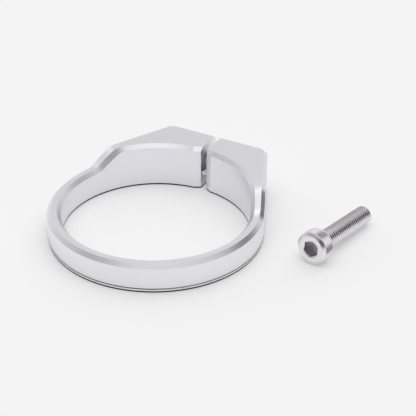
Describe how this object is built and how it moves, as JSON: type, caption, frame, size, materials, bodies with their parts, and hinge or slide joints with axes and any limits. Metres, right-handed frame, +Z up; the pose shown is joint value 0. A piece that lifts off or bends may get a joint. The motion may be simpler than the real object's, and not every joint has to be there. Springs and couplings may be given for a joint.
{
  "type": "steerer tube clamp",
  "caption": "Split aluminium ring with raised lugs that clamps round a steerer tube, with its socket head screw lying beside it",
  "frame": {"origin": "on the axis of the tube bore, in the plane of the bottom face", "axes": "+Z up the bore, +Y out through the slit, +X along the screw holes from the lug that takes the head to the threaded lug"},
  "size_m": [0.0772, 0.0634, 0.0127],
  "materials": {
    "ring_aluminium": "satin silver anodised",
    "bolt_steel": "bright rolled thread, knurled head"
  },
  "bodies": {
    "root": {"clamp_ring": "ring_aluminium", "clamp_bolt": "bolt_steel"}
  },
  "joints": []
}
